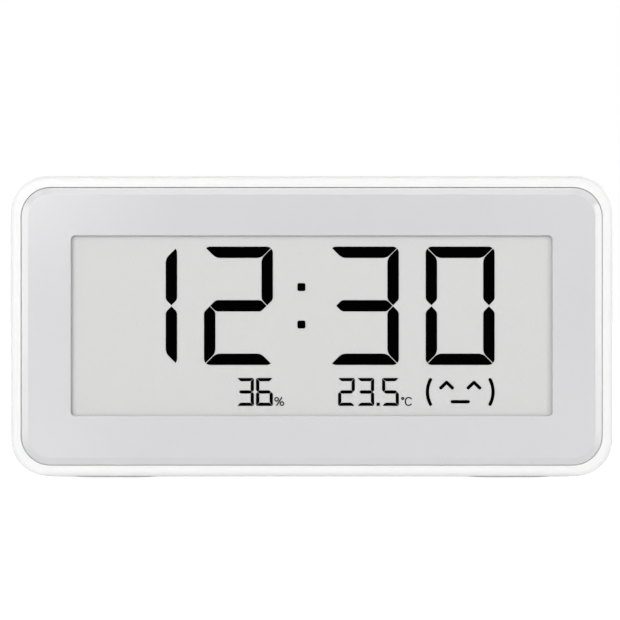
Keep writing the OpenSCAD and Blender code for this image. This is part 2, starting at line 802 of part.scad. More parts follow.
module comfort_face() signs() translate([face_x_share*window.x, small_y]) {
    h = small_digit.y;
    t = small_stroke;
    rise = (h - t)/2;
    bulge = face_bracket_bulge_share*h;
    bracket_r = (rise*rise + bulge*bulge)/(2*bulge);
    for (way = [0, 1]) mirror([way, 0, 0]) {
        translate([-face_bracket_x_share*h - bulge/2, 0]) {
            translate([bracket_r, 0]) intersection() {
                ring(bracket_r + t/2, t);
                translate([-bracket_r, 0]) square([2*bulge + t, 2*rise], center = true);
            }
            for (end = [-1, 1]) translate([bulge, end*rise]) circle(t/2);
        }
        translate([-face_eye_x_share*h, 0]) for (side = [-1, 1])
            stroke([0, face_eye_high_share*h], [side*face_eye_w_share*h/2, face_eye_low_share*h], t);
    }
    stroke([-1, 0]*face_mouth_w_share*h/2 + [0, face_mouth_y_share*h],
        [1, 0]*face_mouth_w_share*h/2 + [0, face_mouth_y_share*h], t);
}

// Ribbon from the display's ledge, under the carrier and up to its connector
module display_ribbon() color("goldenrod") standing() {
    turn_front_z = film_back_z - ribbon_bend_r;
    turn_back_z = ribbon_z + ribbon_t + ribbon_bend_r;
    side_on(ribbon_w) {
        translate([film_back_z, ribbon_turn_y]) square([ribbon_t, glass_low_y + ribbon_bond - ribbon_turn_y]);
        translate([turn_back_z, ribbon_low_y]) square([turn_front_z - turn_back_z, ribbon_t]);
        translate([ribbon_z, ribbon_turn_y]) square([ribbon_t, connector_y + ribbon_in - ribbon_turn_y]);
        for (bend = [[turn_front_z, 0], [turn_back_z, 1]]) translate([bend[0], ribbon_turn_y])
            mirror([bend[1], 0]) intersection() {
                ring(ribbon_bend_r + ribbon_t, ribbon_t);
                translate([0, -ribbon_bend_r - ribbon_t]) square(ribbon_bend_r + ribbon_t);
            }
    }
}

module ribbon_stiffener() color("steelblue") standing()
    translate([0, stiffener_end_y + stiffener_l/2, ribbon_z + ribbon_t])
        slab([ribbon_w, stiffener_l], 0, stiffener_t);

module ribbon_connector() color("ivory") standing() difference() {
    top = board_front_z + connector_size.z;
    step_y = connector_y + connector_size.y - flip_l;
    translate([0, connector_y + connector_size.y/2, 0])
        slab([connector_size.x, connector_size.y], board_front_z, top);
    translate([0, connector_y - overrun + (ribbon_in + overrun + slide_fit)/2, 0])
        slab([ribbon_w + 2*slide_fit, ribbon_in + overrun + slide_fit],
            ribbon_z - slide_fit, ribbon_z + ribbon_t + stiffener_t + slide_fit);
    translate([0, step_y - slide_fit + (flip_l + overrun)/2, 0])
        slab([connector_size.x - 2*flip_side, flip_l + overrun], top - flip_t - slide_fit, top + overrun);
    translate([0, flip_y, flip_z]) rotate([0, 90, 0])
        cylinder(r = flip_r/2 + pin_fit, h = connector_size.x - flip_side, center = true);
}

module connector_latch() color("saddlebrown") standing() {
    w = connector_size.x - 2*(flip_side + slide_fit);
    side_on(w) {
        translate([flip_z, flip_y]) circle(flip_r);
        translate([flip_z - flip_r, flip_y]) square([flip_t, flip_l - flip_r]);
    }
    translate([0, flip_y, flip_z]) rotate([0, 90, 0])
        cylinder(r = flip_r/2, h = connector_size.x - flip_side - 2*pin_fit, center = true);
}

// Circuit board and what is soldered to it

module main_board() color("seagreen") standing() layer(board_back_z, board_front_z) difference() {
    round_rect(board_size, board_r);
    for (x = [-1, 1], y = [-1, 1]) translate([x*post_x, y*post_y]) circle(screw_r + slide_fit);
    translate([vent_x, vent_y]) {
        for (way = [-1, 1]) translate([0, way*sensor_slot_room])
            square([2*sensor_slot_room + sensor_slot_w, sensor_slot_w], center = true);
        translate([sensor_slot_room, 0]) square([sensor_slot_w, 2*sensor_slot_room], center = true);
    }
}

module board_screws() color("gray") standing()
    for (x = [-1, 1], y = [-1, 1]) translate([x*post_x, y*post_y, 0]) difference() {
        union() {
            disc(screw_r, board_front_z - screw_l, board_front_z + touch_gap);
            disc(screw_head_r, board_front_z, board_front_z + screw_head_t);
        }
        for (turn = [0, 90]) rotate([0, 0, turn])
            translate([0, 0, board_front_z + screw_head_t]) slab([cross_l, cross_w], -cross_t, overrun);
    }

module on_board(place_shares)
    translate([place_shares[0]*board_size.x/2, place_shares[1]*board_size.y/2, board_front_z]) children();

module controller_chip() color("darkslategray") standing() on_board(controller_place_shares) {
    slab([controller_size.x, controller_size.y], 0, controller_size.z);
    side = floor((controller_size.x/controller_pad_pitch - 1)/2);
    for (turn = [0 : 3], i = [-side : side]) rotate([0, 0, 90*turn])
        translate([controller_size.x/2, i*controller_pad_pitch, 0])
            slab([controller_pad_w, controller_pad_w], 0, controller_pad_t);
}

module memory_chip() color("darkslategray") standing() on_board(memory_place_shares) {
    slab([memory_size.x, memory_size.y], memory_lead.z, memory_size.z);
    for (side = [-1, 1], i = [0 : 3]) translate([side*memory_size.x/2, (i - 3/2)*memory_pitch, 0])
        slab([2*memory_lead.x, memory_lead.y], 0, 2*memory_lead.z);
}

module main_crystal() color("silver") standing() on_board(crystal_place_shares) {
    slab([crystal_size.x, crystal_size.y], 0, crystal_size.z);
    slab([crystal_size.x, crystal_size.y] - 2*[crystal_lid_inset, crystal_lid_inset],
        crystal_size.z - touch_gap, crystal_size.z + crystal_lid_t);
}

module watch_crystal() color("silver") standing() on_board(watch_place_shares)
    translate([0, watch_l/2, watch_r + touch_gap]) rotate([90, 0, 0]) cylinder(r = watch_r, h = watch_l);

module boost_inductor() color("dimgray") standing() on_board(inductor_place_shares) {
    difference() {
        slab([inductor_size.x, inductor_size.y], 0, inductor_size.z);
        disc(inductor_core_r + inductor_well, inductor_size.z - inductor_well, inductor_size.z + overrun);
    }
    disc(inductor_core_r, inductor_size.z - 2*inductor_well, inductor_size.z);
}

module bulk_capacitor() color("orange") standing() on_board(bulk_place_shares)
    slab([bulk_size.x, bulk_size.y], 0, bulk_size.z);

module diodes() color("darkslategray") standing()
    for (place = diode_place_shares) on_board(place) rotate([0, 0, 90]) {
        slab([diode_size.x, diode_size.y], diode_lead.z, diode_size.z);
        for (side = [-1, 1]) translate([side*diode_size.x/2, 0, 0])
            slab([2*diode_lead.x, diode_lead.y], 0, 2*diode_lead.z);
    }

module capacitors() color("tan") standing()
    for (place = capacitor_place_shares) on_board(place)
        slab([capacitor_size.x, capacitor_size.y], 0, capacitor_size.z);

module resistors() color("darkslategray") standing()
    for (place = resistor_place_shares) on_board(place)
        slab([resistor_size.x, resistor_size.y], 0, resistor_size.z);

module humidity_sensor() color("whitesmoke") standing() translate([vent_x, vent_y, 0]) difference() {
    slab([sensor_size.x, sensor_size.y], board_back_z - sensor_size.z, board_back_z);
    disc(sensor_hole_r, board_back_z - sensor_size.z - overrun, board_back_z - sensor_size.z/2);
}

module antenna() color("peru") standing()
    translate([-post_x + 2*post_r, board_size.y/2 - antenna_inset - antenna_h, board_front_z])
        layer(0, antenna_t) for (i = [0 : antenna_turns - 1]) translate([2*i*antenna_pitch, 0]) {
            square([antenna_w, antenna_h]);
            translate([antenna_pitch, 0]) square([antenna_w, antenna_h]);
            translate([0, antenna_h - antenna_w]) square([antenna_pitch, antenna_w]);
            if (i < antenna_turns - 1) translate([antenna_pitch, 0]) square([antenna_pitch, antenna_w]);
        }

// Spring contacts from the board, through the floor of the bay, to the cells

module negative_contacts() color("lightgray") standing()
    for (way = [0, 1]) mirror([way, 0, 0]) translate([cell_pitch/2 + leaf_l/2, bay_y, 0])
        rotate([90, 0, 0]) linear_extrude(leaf_w, center = true) {
            translate([-leaf_l, cell_front_z]) square([leaf_l, leaf_t]);
            translate([-leaf_t, cell_front_z]) square([leaf_t, board_back_z - cell_front_z]);
            translate([-leaf_foot, board_back_z - leaf_t]) square([leaf_foot, leaf_t]);
        }

module positive_contacts() color("lightgray") standing()
    for (way = [0, 1]) mirror([way, 0, 0]) translate([cell_pitch/2 + cell_r + pin_fit, bay_y, 0])
        rotate([90, 0, 0]) linear_extrude(leaf_w, center = true) {
            translate([0, cell_rear_z + can_round])
                square([leaf_t, board_back_z - cell_rear_z - can_round]);
            translate([0, board_back_z - leaf_t]) square([leaf_foot, leaf_t]);
        }

// Coin cells: a steel can with its open end to the front, a seal and the cap that closes it

can_h = can_h_share*cell_t;
cap_r = cell_r - can_wall - seal_t;

module in_bay(side) translate([side*cell_pitch/2, bay_y, cell_rear_z]) children();

module cell_can(side) color("silver") standing() in_bay(side) rotate_extrude() difference() {
    square([cell_r, can_h]);
    translate([0, can_wall]) square([cell_r - can_wall, can_h]);
    translate([cell_r, 0]) round_cut(can_round);
}

module cell_seal(side) color("dimgray") standing() in_bay(side) rotate_extrude()
    translate([cap_r, can_wall]) square([seal_t, can_h - can_wall + seal_rise]);

module cell_cap(side) color("gainsboro") standing() in_bay(side) rotate_extrude() difference() {
    translate([0, can_wall]) square([cap_r, cell_t - can_wall]);
    translate([cap_r, cell_t]) mirror([0, 1]) round_cut(cap_round);
}

module left_cell_can() cell_can(-1);
module left_cell_seal() cell_seal(-1);
module left_cell_cap() cell_cap(-1);
module right_cell_can() cell_can(1);
module right_cell_seal() cell_seal(1);
module right_cell_cap() cell_cap(1);

// Battery door, hinged on two stub pins along its lower edge, with a springy latch at its upper edge

module battery_door() color("white") standing() {
    difference() {
        union() {
            layer(back_z, door_in_z) door_outline(0);
            translate([0, hinge_y, hinge_z]) rotate([0, 90, 0])
                cylinder(r = hinge_r, h = door_size.x, center = true);
        }
        round_door() polygon([
            [door_r - back_edge - overrun, back_z - overrun], [door_r + overrun, back_z - overrun],
            [door_r + overrun, back_z + back_edge + overrun]]);
    }
    translate([0, hinge_y, hinge_z]) rotate([0, 90, 0])
        cylinder(r = hinge_pin_r, h = door_size.x + 2*(door_gap + hinge_pin_l - pin_fit), center = true);
}

module door_latch() color("white") standing() latch_place() side_on(latch_w) polygon([
    [door_in_z, -latch_t], [door_in_z, 0], [door_in_z + latch_l - latch_barb_t, 0],
    [door_in_z + latch_l - latch_barb_t, latch_setback + latch_barb],
    [door_in_z + latch_l, latch_setback - latch_t], [door_in_z + latch_l, -latch_t]]);

module door_pad() color("dimgray") standing() translate([0, bay_y, 0])
    plate(pad_size, door_r/2, door_in_z, door_in_z + pad_t);

// Push button on the back, and the switch that it presses

module at_button() translate([-button_x, button_y, 0]) children();

module unit_button() color("lightgray") standing() at_button() {
    translate([0, 0, back_z - button_proud]) rotate_extrude() difference() {
        square([button_r, flange_z - back_z + button_proud + touch_gap]);
        translate([button_r, 0]) round_cut(button_proud);
    }
    disc(flange_r, flange_z, flange_z + flange_t);
    disc(stem_r, flange_z, plunger_tip_z - touch_gap);
}

module switch_case() color("darkslategray") standing() at_button() difference() {
    slab([switch_size.x, switch_size.y], board_back_z - switch_size.z, board_back_z);
    disc(dome_r + slide_fit, board_back_z - switch_size.z - overrun, board_back_z - dome_seat_t);
}

module switch_cover() color("silver") standing() at_button() difference() {
    slab([switch_size.x, switch_size.y], switch_top_z, board_back_z - switch_size.z);
    disc(plunger_r + pin_fit, switch_top_z - overrun, board_back_z);
}

module switch_plunger() color("dimgray") standing() at_button() {
    foot_z = switch_top_z + switch_cover_t + pin_fit;
    disc(plunger_r, plunger_tip_z, foot_z + plunger_foot_t);
    disc(plunger_foot_r, foot_z, foot_z + plunger_foot_t);
    disc(stem_r, foot_z, board_back_z - dome_seat_t - dome_h - dome_t - touch_gap);
}

module switch_dome() color("goldenrod") standing() at_button()
    translate([0, 0, board_back_z - dome_seat_t]) mirror([0, 0, 1]) {
        ball_r = (dome_r*dome_r + dome_h*dome_h)/(2*dome_h);
        rotate_extrude() intersection() {
            translate([0, dome_h - ball_r]) ring(ball_r + dome_t, dome_t);
            square([dome_r, dome_h + dome_t]);
        }
    }

module vent_mesh() color("dimgray") standing() translate([vent_x, vent_y, 0])
    plate([vent_l, (vent_count - 1)*vent_pitch + vent_w] + 2*[mesh_margin, mesh_margin], mesh_margin,
        inner_back_z, inner_back_z + mesh_t);

// Soft feet, let into the underside
module foot(side) color("gainsboro") standing()
    translate([side*foot_x_share*body_w, foot_sink - body_h/2, foot_z]) rotate([90, 0, 0])
        soft_block([foot_w, foot_d] - 2*[foot_fit, foot_fit], foot_d/2 - 2*foot_fit,
            0, foot_sink + foot_proud, 0, foot_round);

module foot_left() foot(-1);
module foot_right() foot(1);

rear_housing();
front_panel();
display_gasket();
display_film();
time_figures();
colon_dots();
humidity_figures();
temperature_figures();
comfort_face();
display_glass();
display_driver_chip();
display_carrier();
carrier_screws();
display_ribbon();
ribbon_stiffener();
ribbon_connector();
connector_latch();
main_board();
board_screws();
controller_chip();
memory_chip();
main_crystal();
watch_crystal();
boost_inductor();
bulk_capacitor();
diodes();
capacitors();
resistors();
humidity_sensor();
antenna();
negative_contacts();
positive_contacts();
left_cell_can();
left_cell_seal();
left_cell_cap();
right_cell_can();
right_cell_seal();
right_cell_cap();
battery_door();
door_latch();
door_pad();
unit_button();
switch_case();
switch_cover();
switch_plunger();
switch_dome();
vent_mesh();
foot_left();
foot_right();
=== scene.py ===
"""A small white desk clock with a paper-like display, on a pale floor in soft studio light.

Lengths are in metres. The clock faces -Y, stands on z = 0 and has x = 0 through its middle.
"""
import math

import bpy
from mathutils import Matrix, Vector


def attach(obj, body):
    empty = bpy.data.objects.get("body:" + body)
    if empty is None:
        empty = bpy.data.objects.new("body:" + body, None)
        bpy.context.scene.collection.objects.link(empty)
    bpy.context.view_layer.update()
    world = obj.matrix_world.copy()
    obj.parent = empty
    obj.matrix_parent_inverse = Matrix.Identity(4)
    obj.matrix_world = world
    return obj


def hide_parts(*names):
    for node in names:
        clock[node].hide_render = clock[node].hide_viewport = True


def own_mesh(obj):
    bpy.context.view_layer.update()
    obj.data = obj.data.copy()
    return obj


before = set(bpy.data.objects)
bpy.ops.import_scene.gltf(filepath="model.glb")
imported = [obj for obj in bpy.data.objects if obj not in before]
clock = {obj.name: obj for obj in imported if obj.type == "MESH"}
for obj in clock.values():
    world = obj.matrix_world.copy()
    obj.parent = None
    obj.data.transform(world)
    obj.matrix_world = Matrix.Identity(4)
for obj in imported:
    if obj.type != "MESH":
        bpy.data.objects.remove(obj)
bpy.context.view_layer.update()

# Studio: a camera straight in front of the clock, a little above its middle, a satin white table that
# runs on behind it, and soft boxes to the left, to the right, above, in front and behind.

lens_mm, sensor_mm = 69.7, 36
view_point = Vector((-0.00031, -0.2315, 0.03105))
clock_middle = Vector((0.0, 0.0, 0.028))

bpy.ops.object.camera_add(location=view_point, rotation=(math.radians(90), 0, 0))
camera = bpy.context.object
camera.name = "studio_camera"
camera.data.lens = lens_mm
camera.data.sensor_width = sensor_mm
camera.data.clip_start = 0.01
bpy.context.scene.camera = camera
bpy.context.scene.view_settings.view_transform = "Standard"


def soft_box(name, direction, distance, size, radiance):
    """A rectangular lamp that looks at the clock; its power follows from how bright its face is."""
    bpy.ops.object.light_add(type="AREA", location=clock_middle + Vector(direction).normalized() * distance)
    lamp = bpy.context.object
    lamp.name = name
    lamp.data.shape = "RECTANGLE"
    lamp.data.size, lamp.data.size_y = size
    lamp.data.energy = radiance * math.pi * size[0] * size[1]
    lamp.rotation_euler = (clock_middle - lamp.location).to_track_quat("-Z", "Y").to_euler()


soft_box("left_strip", direction=(-0.81, -0.585, 0.05), distance=0.6, size=(0.10, 0.40), radiance=5.8)
soft_box("right_strip", direction=(0.81, -0.585, 0.05), distance=0.6, size=(0.10, 0.40), radiance=7.6)
soft_box("upper_strip", direction=(0.0, -0.69, 0.725), distance=0.7, size=(0.48, 0.13), radiance=2.7)
soft_box("upper_left_box", direction=(-0.55, -0.64, 0.54), distance=0.65, size=(0.20, 0.20), radiance=1.7)
soft_box("upper_right_box", direction=(0.55, -0.64, 0.54), distance=0.65, size=(0.20, 0.20), radiance=2.1)
soft_box("front_left_box", direction=(-0.42, -0.86, 0.28), distance=1.1, size=(0.50, 0.50), radiance=4.3)
soft_box("front_right_box", direction=(0.42, -0.86, 0.28), distance=1.1, size=(0.50, 0.50), radiance=0.9)
soft_box("overhead_box", direction=(0.0, -0.25, 0.97), distance=1.1, size=(0.70, 0.50), radiance=1.4)
soft_box("rear_left_box", direction=(0.75, 0.62, 0.30), distance=1.1, size=(0.40, 0.50), radiance=5.6)
soft_box("rear_right_box", direction=(-0.45, 0.90, 0.22), distance=1.2, size=(0.60, 0.50), radiance=3.2)


def add(tree, kind, values=None):
    """A shader node of that kind, with these values on its sockets."""
    made = tree.nodes.new("ShaderNode" + kind)
    for socket, value in (values or {}).items():
        made.inputs[socket].default_value = value
    return made


def maths(tree, operation, *amounts):
    """One operation on amounts, each a number or what another node gives."""
    made = add(tree, "Math")
    made.operation = operation
    for socket, amount in zip(made.inputs, amounts):
        if isinstance(amount, (int, float)):
            socket.default_value = amount
        else:
            tree.links.new(amount, socket)
    return made.outputs[0]


def seen_share(tree):
    """1 for rays from the camera, from a gloss or through glass, and 0 for light that lands on a surface."""
    path = add(tree, "LightPath")
    total = path.outputs["Is Camera Ray"]
    for kind in ("Is Glossy Ray", "Is Transmission Ray"):
        total = maths(tree, "MAXIMUM", total, path.outputs[kind])
    return total


white = (1, 1, 1, 1)
room_fill, room_seen = 0.2, 1.0
world = bpy.data.worlds.new("studio_white")
bpy.context.scene.world = world
world.use_nodes = True
sky = world.node_tree
sky.nodes.clear()
lit = add(sky, "Background", {"Color": white, "Strength": room_fill})
seen = add(sky, "Background", {"Color": white, "Strength": room_seen})
blend = add(sky, "MixShader")
out = add(sky, "OutputWorld")
sky.links.new(seen_share(sky), blend.inputs[0])
sky.links.new(lit.outputs[0], blend.inputs[1])
sky.links.new(seen.outputs[0], blend.inputs[2])
sky.links.new(blend.outputs[0], out.inputs["Surface"])

table_size, table_run = 4, 0.6
table_white, table_roughness, table_lift = (0.93, 0.93, 0.93, 1), 0.2, 0.8
bpy.ops.mesh.primitive_plane_add(size=table_size, location=(0, table_run, 0))
floor = bpy.context.object
floor.name = "studio_floor"
acrylic = bpy.data.materials.new("studio_acrylic")
acrylic.use_nodes = True
sweep = acrylic.node_tree
gloss = sweep.nodes["Principled BSDF"]
gloss.inputs["Base Color"].default_value = table_white
gloss.inputs["Roughness"].default_value = table_roughness
glow = add(sweep, "Emission", {"Color": white})
both = add(sweep, "AddShader")
sweep.links.new(maths(sweep, "MULTIPLY", seen_share(sweep), table_lift), glow.inputs["Strength"])
sweep.links.new(gloss.outputs[0], both.inputs[0])
sweep.links.new(glow.outputs[0], both.inputs[1])
sweep.links.new(both.outputs[0], sweep.nodes["Material Output"].inputs["Surface"])
floor.data.materials.append(acrylic)

# Housing: one white moulding, open at the front. Its skin is the fine spark-eroded grain of the mould,
# which keeps it from shining, and only its front edge shows as a rim round the panel.


def new_finish(name, roughness, metal=0.0, level=0.5):
    """A material and its shader, with what is the same all over set on the shader itself."""
    made = bpy.data.materials.new(name)
    made.use_nodes = True
    shader = made.node_tree.nodes["Principled BSDF"]
    shader.inputs["Roughness"].default_value = roughness
    shader.inputs["Metallic"].default_value = metal
    shader.inputs["Specular IOR Level"].default_value = level
    return made, made.node_tree, shader


def on_piece(tree, place=(0, 0, 0), scale=(1, 1, 1)):
    """Places on the piece itself, moved or stretched for a pattern."""
    coords = add(tree, "TexCoord")
    mapping = add(tree, "Mapping", {"Location": place, "Scale": scale})
    tree.links.new(coords.outputs["Object"], mapping.inputs["Vector"])
    return mapping.outputs["Vector"]


def noise(tree, places, scale, detail=2.0, roughness=0.5):
    """A cloudy pattern from 0 to 1, with about scale patches to the metre."""
    made = add(tree, "TexNoise", {"Scale": scale, "Detail": detail, "Roughness": roughness})
    tree.links.new(places, made.inputs["Vector"])
    return made.outputs[0]


def tones(tree, amount, dark, light, low=0.3, high=0.7):
    """Turns an amount from low to high into a colour from dark to light."""
    ramp = add(tree, "ValToRGB")
    ramp.color_ramp.elements[0].position = low
    ramp.color_ramp.elements[0].color = (*dark, 1)
    ramp.color_ramp.elements[1].position = high
    ramp.color_ramp.elements[1].color = (*light, 1)
    tree.links.new(amount, ramp.inputs[0])
    return ramp.outputs[0]


def spread(tree, amount, low, high):
    """Turns an amount from 0 to 1 into one from low to high."""
    made = add(tree, "MapRange", {"To Min": low, "To Max": high})
    tree.links.new(amount, made.inputs["Value"])
    return made.outputs[0]


def relief(tree, shader, height, depth):
    """Raises the surface by up to depth metres where the height is 1."""
    made = add(tree, "Bump", {"Strength": 1.0, "Distance": depth})
    tree.links.new(height, made.inputs["Height"])
    tree.links.new(made.outputs[0], shader.inputs["Normal"])


gloss_drift = 0.06


def moulded(name, dark, light, roughness, grain=0.00022, depth=0.000003, level=0.5):
    """Moulded plastic: a slow drift of tone, and the mould's grain in the relief and in the gloss."""
    made, tree, shader = new_finish(name, roughness, level=level)
    places = on_piece(tree)
    drift = noise(tree, places, scale=45, detail=3)
    tree.links.new(tones(tree, drift, dark, light), shader.inputs["Base Color"])
    skin = noise(tree, places, scale=1 / grain, detail=3, roughness=0.6)
    dull = spread(tree, skin, roughness - gloss_drift, roughness + gloss_drift)
    tree.links.new(dull, shader.inputs["Roughness"])
    relief(tree, shader, skin, depth)
    return made


def finish(material, *names):
    """Gives CAD nodes their material, in place of the one they came with."""
    for name in names:
        piece = clock[name]
        piece.data.materials.clear()
        piece.data.materials.append(material)


shell_white = moulded("shell_white", dark=(0.820, 0.820, 0.816), light=(0.838, 0.838, 0.834), roughness=0.46)
finish(shell_white, "rear_housing", "battery_door", "door_latch")

# Grip on the battery door: three low ribs of the same white plastic, moulded on the door just under the
# edge that a fingertip pulls.

smooth_below = math.radians(35)


def block(size, edge, steps=2):
    """A block at the origin with rounded edges, shaped from a unit cube."""
    bpy.ops.object.select_all(action="DESELECT")
    bpy.ops.mesh.primitive_cube_add(size=1)
    bpy.ops.object.mode_set(mode="EDIT")
    bpy.ops.transform.resize(value=size)
    bpy.ops.mesh.bevel(offset=edge, segments=steps, affect="EDGES")
    bpy.ops.mesh.select_all(action="SELECT")
    bpy.ops.mesh.normals_make_consistent(inside=False)
    bpy.ops.object.mode_set(mode="OBJECT")
    bpy.ops.object.shade_smooth_by_angle(angle=smooth_below)
    return bpy.context.object


def copies(model, places):
    """Copies of one modelled piece at these places, each with its own mesh, joined into one piece."""
    twins = []
    for place in places:
        twin = model.copy()
        twin.data = model.data.copy()
        twin.location = place
        bpy.context.collection.objects.link(twin)
        twins.append(twin)
    bpy.data.objects.remove(model)
    bpy.ops.object.select_all(action="DESELECT")
    for twin in twins:
        twin.select_set(True)
    bpy.context.view_layer.objects.active = twins[0]
    bpy.ops.object.join()
    return bpy.context.object


def settle(piece, name, body, material):
    """Leaves a finished piece with its place in its mesh, on its body and in its material."""
    bpy.ops.object.select_all(action="DESELECT")
    piece.select_set(True)
    bpy.context.view_layer.objects.active = piece
    bpy.ops.object.transform_apply(location=True, rotation=True, scale=True)
    piece.name = piece.data.name = name
    piece.data.materials.clear()
    piece.data.materials.append(material)
    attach(piece, body)
    return piece


door_face_y = 0.01115
rib_l, rib_w, rib_proud, rib_sunk, rib_edge = 0.012, 0.0006, 0.0003, 0.00015, 0.00018
rib_levels = (0.0373, 0.0361, 0.0349)
rib_y = door_face_y + (rib_proud - rib_sunk) / 2
rib = block((rib_l, rib_proud + rib_sunk, rib_w), rib_edge, steps=3)
ribs = copies(rib, [(0, rib_y, z) for z in rib_levels])
settle(ribs, "door_grip", "battery_door", shell_white)

# Front panel: a satin cool-grey moulding whose edge slopes down to the groove inside the rim. Eight snap
# hooks on its back hold it in the housing.

panel_grey = moulded("panel_grey", dark=(0.578, 0.577, 0.588), light=(0.590, 0.589, 0.600), roughness=0.22,
                     grain=0.00018, depth=0.000001, level=0.7)
finish(panel_grey, "front_panel")

# Display: a paper-like film of tiny capsules, laid on glass and held off the panel by a foam frame.
# The dark signs are capsules that show their black side. The chip that drives them sits on the glass.

capsule_size = 0.00011


def capsules(name, dark, light, roughness, depth, level):
    """The film's capsules: each has its own tone and stands a little proud."""
    made, tree, shader = new_finish(name, roughness, level=level)
    cells = add(tree, "TexVoronoi", {"Scale": 1 / capsule_size})
    tree.links.new(on_piece(tree), cells.inputs["Vector"])
    own = add(tree, "SeparateColor")
    tree.links.new(cells.outputs["Color"], own.inputs[0])
    tree.links.new(tones(tree, own.outputs[0], dark, light, low=0, high=1), shader.inputs["Base Color"])
    relief(tree, shader, cells.outputs["Distance"], depth)
    return made


film = capsules("paper_film", dark=(0.616, 0.616, 0.613), light=(0.638, 0.638, 0.635), roughness=0.75,
                depth=0.000002, level=0.25)
finish(film, "display_film")

ink = capsules("ink_black", dark=(0.0003, 0.0003, 0.0003), light=(0.0008, 0.0008, 0.0009), roughness=0.9,
               depth=0.000001, level=0.0)
finish(ink, "time_figures", "colon_dots", "humidity_figures", "temperature_figures", "comfort_face")


def foam(name, dark, light, cell, depth):
    """Closed-cell foam: small pits, with painted shade that darkens the colour towards the bottom of each
    pit.
    """
    made, tree, shader = new_finish(name, roughness=0.95, level=0.1)
    pits = add(tree, "TexVoronoi", {"Scale": 1 / cell})
    tree.links.new(on_piece(tree), pits.inputs["Vector"])
    # Painted shade: the same distance that sinks each pit also makes its bottom darker.
    skin = tones(tree, pits.outputs["Distance"], dark, light, low=0.1, high=0.6)
    tree.links.new(skin, shader.inputs["Base Color"])
    relief(tree, shader, pits.outputs["Distance"], depth)
    return made


foam_black = foam("foam_black", dark=(0.008, 0.008, 0.009), light=(0.03, 0.03, 0.032), cell=0.0003,
                  depth=0.00003)
finish(foam_black, "display_gasket", "door_pad")

glass_ior, glass_clear = 1.5, 0.85
glass, tree, shader = new_finish("display_glass", roughness=0.04)
shader.inputs["IOR"].default_value = glass_ior
shader.inputs["Transmission Weight"].default_value = glass_clear
tint = tones(tree, noise(tree, on_piece(tree), scale=60), dark=(0.78, 0.84, 0.82), light=(0.84, 0.89, 0.87))
tree.links.new(tint, shader.inputs["Base Color"])
finish(glass, "display_glass")

chip_body = {"dark": (0.012, 0.012, 0.013), "light": (0.028, 0.028, 0.03), "roughness": 0.55,
             "grain": 0.00006, "depth": 0.000004}
chip_black = moulded("chip_black", **chip_body)
finish(chip_black, "display_driver_chip", "resistors", "switch_case")

# Carrier: a light grey moulded frame that holds the glass and the film up against the panel, fixed to it
# by four small steel screws. The board has four of its own.

carrier_grey = moulded("carrier_grey", dark=(0.44, 0.45, 0.46), light=(0.49, 0.50, 0.51), roughness=0.5,
                       grain=0.0003, depth=0.000006)
finish(carrier_grey, "display_carrier")

brighter, duller = 0.08, 0.12


def turned(name, dark, light, roughness, streak, depth):
    """Bare metal with fine streaks from its rolling or turning."""
    made, tree, shader = new_finish(name, roughness, metal=1.0)
    streaks = noise(tree, on_piece(tree, scale=streak), scale=1, detail=4, roughness=0.65)
    tree.links.new(tones(tree, streaks, dark, light), shader.inputs["Base Color"])
    dull = spread(tree, streaks, roughness - brighter, roughness + duller)
    tree.links.new(dull, shader.inputs["Roughness"])
    relief(tree, shader, streaks, depth)
    return made


screw_steel = turned("screw_steel", dark=(0.36, 0.36, 0.37), light=(0.55, 0.55, 0.56), roughness=0.32,
                     streak=(4000, 600, 4000), depth=0.000004)
finish(screw_steel, "carrier_screws", "board_screws")

# Ribbon: copper lines between two amber films, with a blue stiffener where it enters the connector,
# an ivory body with a brown flip latch.


def stripes(tree, step):
    """Stripes side by side along X, one every step metres. At scale 1 the pattern has one every pi / 10."""
    made = add(tree, "TexWave", {"Scale": math.pi / 10 / step, "Distortion": 0.0})
    tree.links.new(on_piece(tree), made.inputs["Vector"])
    return made.outputs["Fac"]


ribbon, tree, shader = new_finish("ribbon_amber", roughness=0.28)
line_step, line_rise = 0.0005, 0.000008
lines = stripes(tree, line_step)
amber = tones(tree, lines, dark=(0.36, 0.13, 0.02), light=(0.62, 0.28, 0.06), low=0.45, high=0.55)
tree.links.new(amber, shader.inputs["Base Color"])
relief(tree, shader, lines, line_rise)
finish(ribbon, "display_ribbon")

stiffener_blue = moulded("stiffener_blue", dark=(0.03, 0.10, 0.32), light=(0.045, 0.13, 0.38), roughness=0.4,
                         grain=0.0002, depth=0.000004)
finish(stiffener_blue, "ribbon_stiffener")
connector_ivory = moulded("connector_ivory", dark=(0.70, 0.64, 0.50), light=(0.76, 0.70, 0.57), roughness=0.5,
                          grain=0.00012, depth=0.000004)
finish(connector_ivory, "ribbon_connector")
latch_brown = moulded("latch_brown", dark=(0.10, 0.05, 0.03), light=(0.15, 0.08, 0.045), roughness=0.5,
                      grain=0.00012, depth=0.000004)
finish(latch_brown, "connector_latch")

# Board: green solder mask over copper lines and small plated holes, with the clock's chips, crystals,
# coil and small parts soldered to it, and an antenna of bare copper in one corner.

board_front_y, board_mid_z = -0.00125, 0.02805
half_board = (0.0459, 0.02125)
line_pitch, line_share, line_stretch, line_field = 0.0006, 0.45, 0.006, 0.0084
bare_share, copper_rise = 0.35, 0.00002
hole_pitch, hole_r, bore_share = 0.0031, 0.00026, 0.45
# The near-black is painted shade for the inside of each hole, not a colour of the board.
plate_gold, bore_shade_colour = (0.60, 0.50, 0.28), (0.02, 0.02, 0.02)


def axes(tree, places):
    """The X, Y and Z of these places, each on its own."""
    made = add(tree, "SeparateXYZ")
    tree.links.new(places, made.inputs[0])
    return made.outputs


def flat_place(tree, across, up):
    """A place on a flat pattern from two amounts."""
    made = add(tree, "CombineXYZ")
    tree.links.new(across, made.inputs["X"])
    tree.links.new(up, made.inputs["Y"])
    return made.outputs[0]


